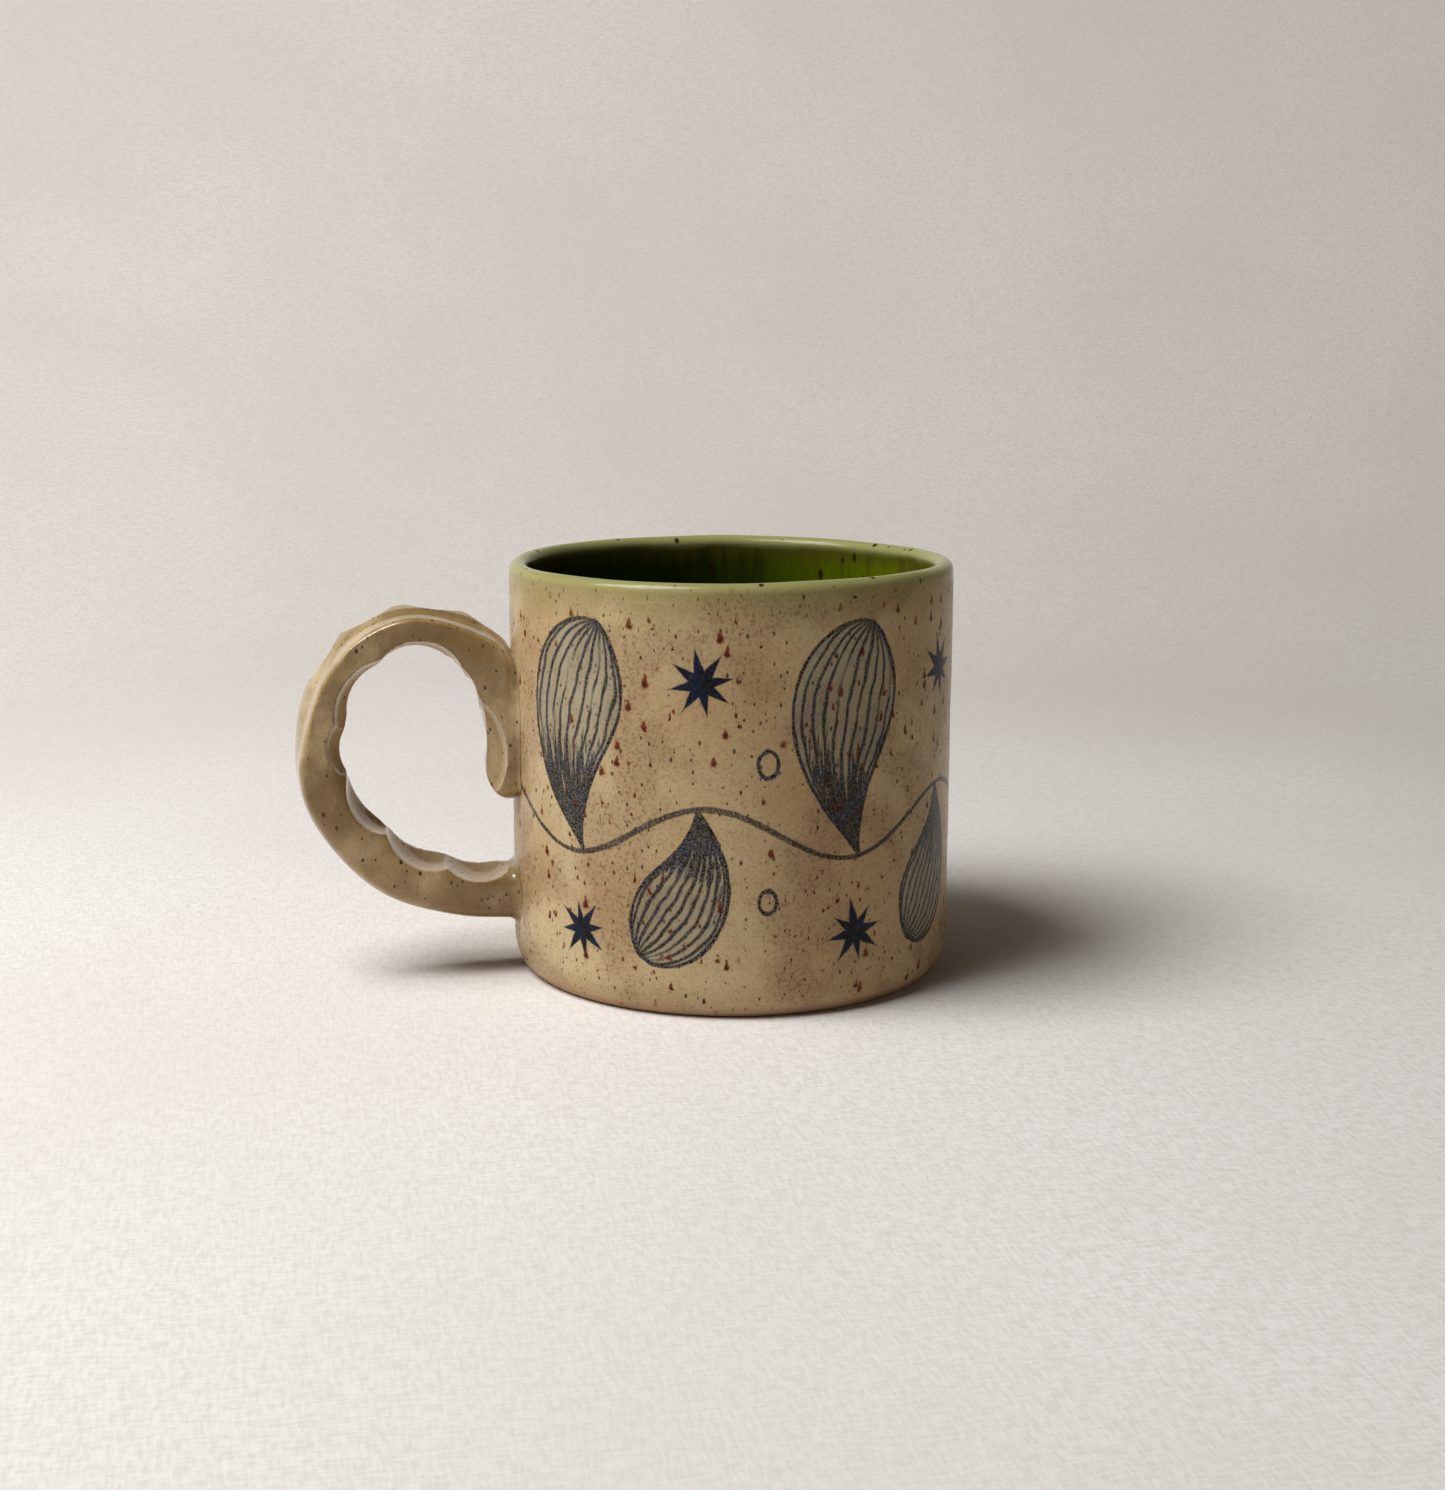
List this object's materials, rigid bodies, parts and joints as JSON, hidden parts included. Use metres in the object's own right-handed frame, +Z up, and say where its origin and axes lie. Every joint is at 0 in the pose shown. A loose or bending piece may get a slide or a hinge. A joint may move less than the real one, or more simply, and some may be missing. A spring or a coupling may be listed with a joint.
{
  "type": "stoneware mug",
  "caption": "Straight-sided hand-built stoneware mug with a carved loop handle, green inside and blue pencil drawing under a clear glaze.",
  "frame": {"origin": "middle of the foot's underside, on the table", "axes": "+Z up out of the mouth, handle along -X"},
  "size_m": [0.1264, 0.085, 0.079],
  "materials": {
    "bare_clay": "bare fired stoneware, matt",
    "speckled_clay": "buff stoneware with iron specks",
    "slip_clay": "smoothed soft clay under clear glaze",
    "green_glaze": "glossy moss green glaze with a few dark specks",
    "clear_glaze": "clear satin gloss over speckled clay and blue underglaze pencil drawing"
  },
  "bodies": {
    "root": {"base_disc": "bare_clay", "wall": "speckled_clay", "seam_coil": "speckled_clay", "lower_join": "slip_clay", "upper_join": "slip_clay", "handle": "speckled_clay", "liner_glaze": "green_glaze", "body_glaze": "clear_glaze", "handle_glaze": "clear_glaze"}
  },
  "joints": []
}
